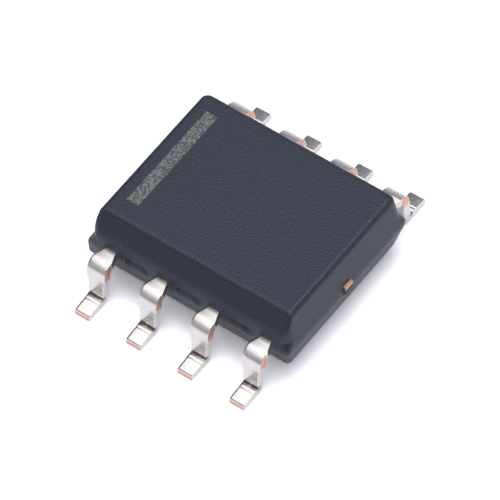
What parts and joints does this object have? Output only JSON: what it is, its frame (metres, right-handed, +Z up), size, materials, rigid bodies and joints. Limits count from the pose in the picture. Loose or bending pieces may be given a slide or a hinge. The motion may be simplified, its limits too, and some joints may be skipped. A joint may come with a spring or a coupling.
{
  "type": "small-outline surface-mount chip",
  "caption": "Moulded surface-mount semiconductor chip with gull-wing leads along two sides and a bevelled edge along the first row.",
  "frame": {"origin": "on the seating plane, under the middle of the whole part", "axes": "+X along the rows of leads, from the lead 1 end; +Y across the rows, towards leads 5 to 8; +Z up out of the top face"},
  "size_m": [0.005, 0.006, 0.0018],
  "materials": {
    "moulding_compound": "fine matte grain, silica-filled epoxy",
    "tin_plated_copper": "matte tin plating",
    "bare_copper": "rolled copper alloy",
    "die_adhesive": "silver-filled epoxy",
    "silicon": "polished silicon",
    "bond_gold": "drawn gold wire"
  },
  "bodies": {
    "root": {"moulding": "moulding_compound", "die_pad": "bare_copper", "die_attach": "die_adhesive", "die": "silicon", "lead_1": "tin_plated_copper", "lead_2": "tin_plated_copper", "lead_3": "tin_plated_copper", "lead_4": "tin_plated_copper", "lead_5": "tin_plated_copper", "lead_6": "tin_plated_copper", "lead_7": "tin_plated_copper", "lead_8": "tin_plated_copper", "bond_wire_1": "bond_gold", "bond_wire_2": "bond_gold", "bond_wire_3": "bond_gold", "bond_wire_4": "bond_gold", "bond_wire_5": "bond_gold", "bond_wire_6": "bond_gold", "bond_wire_7": "bond_gold", "bond_wire_8": "bond_gold"}
  },
  "joints": []
}
